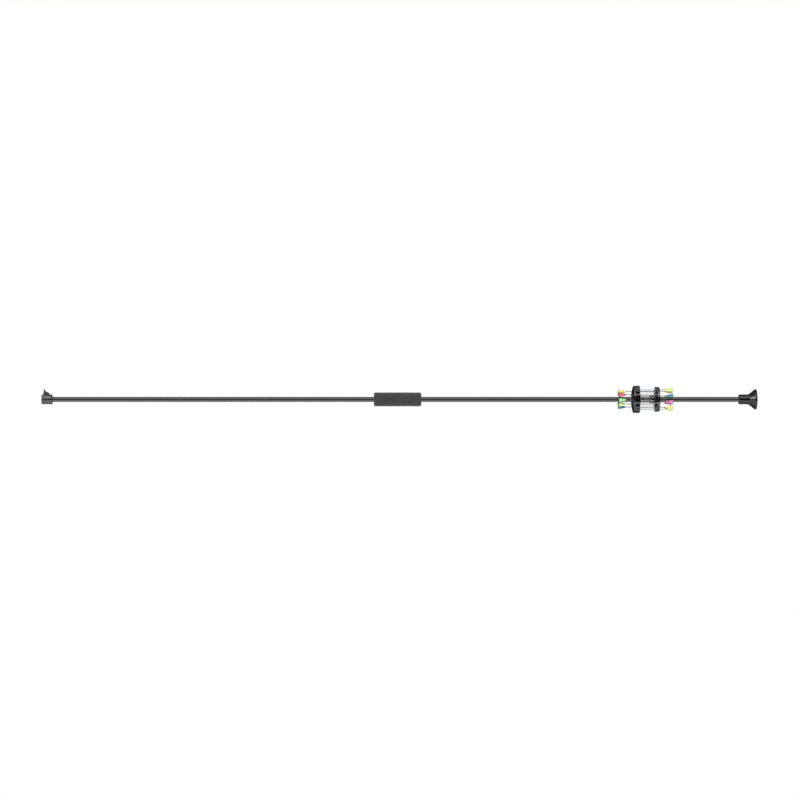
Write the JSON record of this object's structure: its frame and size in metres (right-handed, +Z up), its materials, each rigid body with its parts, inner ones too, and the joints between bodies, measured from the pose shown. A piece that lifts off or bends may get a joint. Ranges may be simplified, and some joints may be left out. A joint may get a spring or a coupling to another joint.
{
  "type": "blowgun",
  "caption": "Long take-down blowgun with a foam grip, a muzzle guard with a front sight, a flared mouthpiece and a sliding, turning quiver of neon cone darts.",
  "frame": {"origin": "on the bore axis, halfway along the overall length", "axes": "+X along the bore towards the mouthpiece, -X towards the muzzle, +Z up where the front sight stands, Y across"},
  "size_m": [1.829, 0.0696, 0.0699],
  "materials": {
    "guard_rubber": "moulded, satin, fluted along its length",
    "barrel_black": "semi-gloss black coated tube",
    "coupler_metal": "plain turned",
    "foam": "matte closed-cell foam",
    "mouth_gloss": "gloss black",
    "quiver_plastic": "black, moulded",
    "clear_tube": "clear, drawn",
    "needle_steel": "bright drawn wire",
    "cone_green": "neon moulded plastic",
    "cone_red": "neon moulded plastic",
    "cone_yellow": "neon moulded plastic",
    "cone_orange": "neon moulded plastic",
    "cone_pink": "neon moulded plastic",
    "cone_lime": "neon moulded plastic",
    "cone_blue": "neon moulded plastic"
  },
  "bodies": {
    "barrel": {"barrel_rear": "barrel_black", "barrel_coupler": "coupler_metal", "foam_grip": "foam"},
    "front_half": {"barrel_front": "barrel_black"},
    "muzzle_cap": {"muzzle_guard": "guard_rubber"},
    "mouthpiece_body": {"mouthpiece": "mouth_gloss"},
    "quiver_slider": {"quiver_sleeve": "quiver_plastic"},
    "quiver": {"quiver_front_holder": "quiver_plastic", "quiver_rear_holder": "quiver_plastic", "guard_tubes": "clear_tube"},
    "front_dart_01": {"front_dart_01_cone": "cone_green", "front_dart_01_needle": "needle_steel"},
    "front_dart_02": {"front_dart_02_cone": "cone_red", "front_dart_02_needle": "needle_steel"},
    "front_dart_03": {"front_dart_03_cone": "cone_yellow", "front_dart_03_needle": "needle_steel"},
    "front_dart_04": {"front_dart_04_cone": "cone_orange", "front_dart_04_needle": "needle_steel"},
    "front_dart_05": {"front_dart_05_cone": "cone_pink", "front_dart_05_needle": "needle_steel"},
    "front_dart_06": {"front_dart_06_cone": "cone_lime", "front_dart_06_needle": "needle_steel"},
    "front_dart_07": {"front_dart_07_cone": "cone_blue", "front_dart_07_needle": "needle_steel"},
    "front_dart_08": {"front_dart_08_cone": "cone_green", "front_dart_08_needle": "needle_steel"},
    "front_dart_09": {"front_dart_09_cone": "cone_blue", "front_dart_09_needle": "needle_steel"},
    "front_dart_10": {"front_dart_10_cone": "cone_lime", "front_dart_10_needle": "needle_steel"},
    "rear_dart_01": {"rear_dart_01_cone": "cone_blue", "rear_dart_01_needle": "needle_steel"},
    "rear_dart_02": {"rear_dart_02_cone": "cone_lime", "rear_dart_02_needle": "needle_steel"},
    "rear_dart_03": {"rear_dart_03_cone": "cone_lime", "rear_dart_03_needle": "needle_steel"},
    "rear_dart_04": {"rear_dart_04_cone": "cone_orange", "rear_dart_04_needle": "needle_steel"},
    "rear_dart_05": {"rear_dart_05_cone": "cone_green", "rear_dart_05_needle": "needle_steel"},
    "rear_dart_06": {"rear_dart_06_cone": "cone_pink", "rear_dart_06_needle": "needle_steel"},
    "rear_dart_07": {"rear_dart_07_cone": "cone_blue", "rear_dart_07_needle": "needle_steel"},
    "rear_dart_08": {"rear_dart_08_cone": "cone_lime", "rear_dart_08_needle": "needle_steel"},
    "rear_dart_09": {"rear_dart_09_cone": "cone_yellow", "rear_dart_09_needle": "needle_steel"},
    "rear_dart_10": {"rear_dart_10_cone": "cone_pink", "rear_dart_10_needle": "needle_steel"}
  },
  "joints": [
    {"name": "front_half_pull", "type": "slide", "parent": "barrel", "child": "front_half", "axis": [-1, 0, 0], "range_m": [0, 0.065]},
    {"name": "muzzle_guard_pull", "type": "slide", "parent": "front_half", "child": "muzzle_cap", "axis": [-1, 0, 0], "range_m": [0, 0.0235]},
    {"name": "mouthpiece_pull", "type": "slide", "parent": "barrel", "child": "mouthpiece_body", "axis": [1, 0, 0], "range_m": [0, 0.0125]},
    {"name": "quiver_slide", "type": "slide", "parent": "barrel", "child": "quiver_slider", "axis": [1, 0, 0], "range_m": [-0.4, 0.08]},
    {"name": "quiver_turn", "type": "hinge", "parent": "quiver_slider", "child": "quiver", "pos_m": [0.66, 0, 0], "axis": [1, 0, 0], "continuous": true},
    {"name": "front_dart_01_pull", "type": "slide", "parent": "quiver", "child": "front_dart_01", "axis": [-1, 0, 0], "range_m": [0, 0.075]},
    {"name": "front_dart_02_pull", "type": "slide", "parent": "quiver", "child": "front_dart_02", "axis": [-1, 0, 0], "range_m": [0, 0.075]},
    {"name": "front_dart_03_pull", "type": "slide", "parent": "quiver", "child": "front_dart_03", "axis": [-1, 0, 0], "range_m": [0, 0.075]},
    {"name": "front_dart_04_pull", "type": "slide", "parent": "quiver", "child": "front_dart_04", "axis": [-1, 0, 0], "range_m": [0, 0.075]},
    {"name": "front_dart_05_pull", "type": "slide", "parent": "quiver", "child": "front_dart_05", "axis": [-1, 0, 0], "range_m": [0, 0.075]},
    {"name": "front_dart_06_pull", "type": "slide", "parent": "quiver", "child": "front_dart_06", "axis": [-1, 0, 0], "range_m": [0, 0.075]},
    {"name": "front_dart_07_pull", "type": "slide", "parent": "quiver", "child": "front_dart_07", "axis": [-1, 0, 0], "range_m": [0, 0.075]},
    {"name": "front_dart_08_pull", "type": "slide", "parent": "quiver", "child": "front_dart_08", "axis": [-1, 0, 0], "range_m": [0, 0.075]},
    {"name": "front_dart_09_pull", "type": "slide", "parent": "quiver", "child": "front_dart_09", "axis": [-1, 0, 0], "range_m": [0, 0.075]},
    {"name": "front_dart_10_pull", "type": "slide", "parent": "quiver", "child": "front_dart_10", "axis": [-1, 0, 0], "range_m": [0, 0.075]},
    {"name": "rear_dart_01_pull", "type": "slide", "parent": "quiver", "child": "rear_dart_01", "axis": [1, 0, 0], "range_m": [0, 0.075]},
    {"name": "rear_dart_02_pull", "type": "slide", "parent": "quiver", "child": "rear_dart_02", "axis": [1, 0, 0], "range_m": [0, 0.075]},
    {"name": "rear_dart_03_pull", "type": "slide", "parent": "quiver", "child": "rear_dart_03", "axis": [1, 0, 0], "range_m": [0, 0.075]},
    {"name": "rear_dart_04_pull", "type": "slide", "parent": "quiver", "child": "rear_dart_04", "axis": [1, 0, 0], "range_m": [0, 0.075]},
    {"name": "rear_dart_05_pull", "type": "slide", "parent": "quiver", "child": "rear_dart_05", "axis": [1, 0, 0], "range_m": [0, 0.075]},
    {"name": "rear_dart_06_pull", "type": "slide", "parent": "quiver", "child": "rear_dart_06", "axis": [1, 0, 0], "range_m": [0, 0.075]},
    {"name": "rear_dart_07_pull", "type": "slide", "parent": "quiver", "child": "rear_dart_07", "axis": [1, 0, 0], "range_m": [0, 0.075]},
    {"name": "rear_dart_08_pull", "type": "slide", "parent": "quiver", "child": "rear_dart_08", "axis": [1, 0, 0], "range_m": [0, 0.075]},
    {"name": "rear_dart_09_pull", "type": "slide", "parent": "quiver", "child": "rear_dart_09", "axis": [1, 0, 0], "range_m": [0, 0.075]},
    {"name": "rear_dart_10_pull", "type": "slide", "parent": "quiver", "child": "rear_dart_10", "axis": [1, 0, 0], "range_m": [0, 0.075]}
  ]
}
